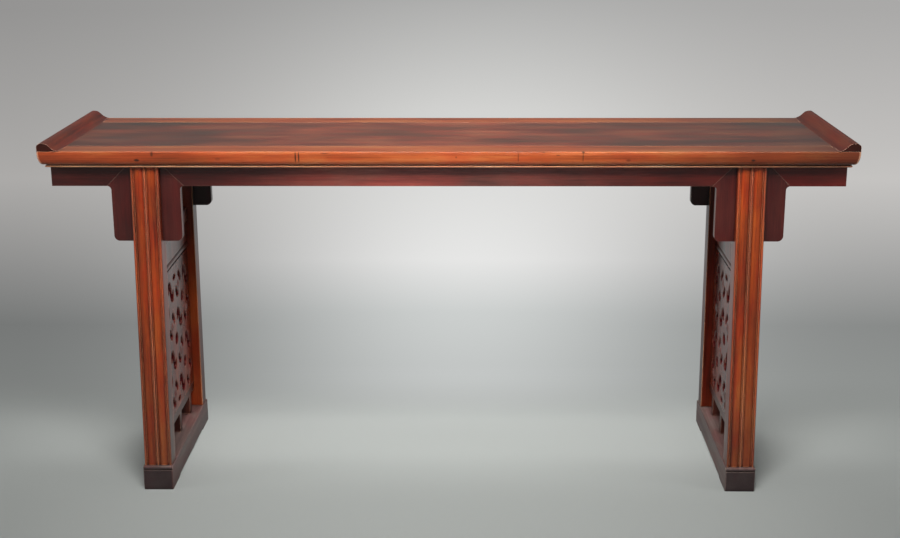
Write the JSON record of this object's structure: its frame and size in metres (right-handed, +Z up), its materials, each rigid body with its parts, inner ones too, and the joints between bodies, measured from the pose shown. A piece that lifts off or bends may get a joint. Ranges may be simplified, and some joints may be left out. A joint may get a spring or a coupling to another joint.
{
  "type": "chinese altar table",
  "caption": "Long recessed-leg altar table with a framed floating-panel top, everted end flanges, aprons with square spandrels, moulded splayed legs, openwork end panels and base runners.",
  "frame": {"origin": "on the floor, under the middle of the top", "axes": "+X along the table to the viewer's right, -Y the front, +Z up"},
  "size_m": [2, 0.5, 0.9101],
  "materials": {
    "frame_wood": "waxed hardwood",
    "panel_wood": "waxed hardwood",
    "apron_wood": "waxed hardwood",
    "leg_wood": "waxed hardwood",
    "end_frame_wood": "waxed hardwood",
    "secondary_wood": "plain hardwood"
  },
  "bodies": {
    "root": {"front_apron": "apron_wood", "front_left_leg": "leg_wood", "front_left_spandrel": "apron_wood", "front_long_rail": "frame_wood", "front_right_leg": "leg_wood", "front_right_spandrel": "apron_wood", "inner_left_batten": "secondary_wood", "inner_right_batten": "secondary_wood", "left_centre_strut": "end_frame_wood", "left_end_apron": "apron_wood", "left_end_rail": "frame_wood", "left_front_strut": "end_frame_wood", "left_lower_cross_rail": "end_frame_wood", "left_middle_cross_rail": "end_frame_wood", "left_openwork_panel": "end_frame_wood", "left_plain_panel": "end_frame_wood", "left_rear_strut": "end_frame_wood", "left_runner": "leg_wood", "left_upper_cross_rail": "end_frame_wood", "outer_left_batten": "secondary_wood", "outer_right_batten": "secondary_wood", "rear_apron": "apron_wood", "rear_left_leg": "leg_wood", "rear_left_spandrel": "apron_wood", "rear_long_rail": "frame_wood", "rear_right_leg": "leg_wood", "rear_right_spandrel": "apron_wood", "right_centre_strut": "end_frame_wood", "right_end_apron": "apron_wood", "right_end_rail": "frame_wood", "right_front_strut": "end_frame_wood", "right_lower_cross_rail": "end_frame_wood", "right_middle_cross_rail": "end_frame_wood", "right_openwork_panel": "end_frame_wood", "right_plain_panel": "end_frame_wood", "right_rear_strut": "end_frame_wood", "right_runner": "leg_wood", "right_upper_cross_rail": "end_frame_wood", "top_panel": "panel_wood"}
  },
  "joints": []
}
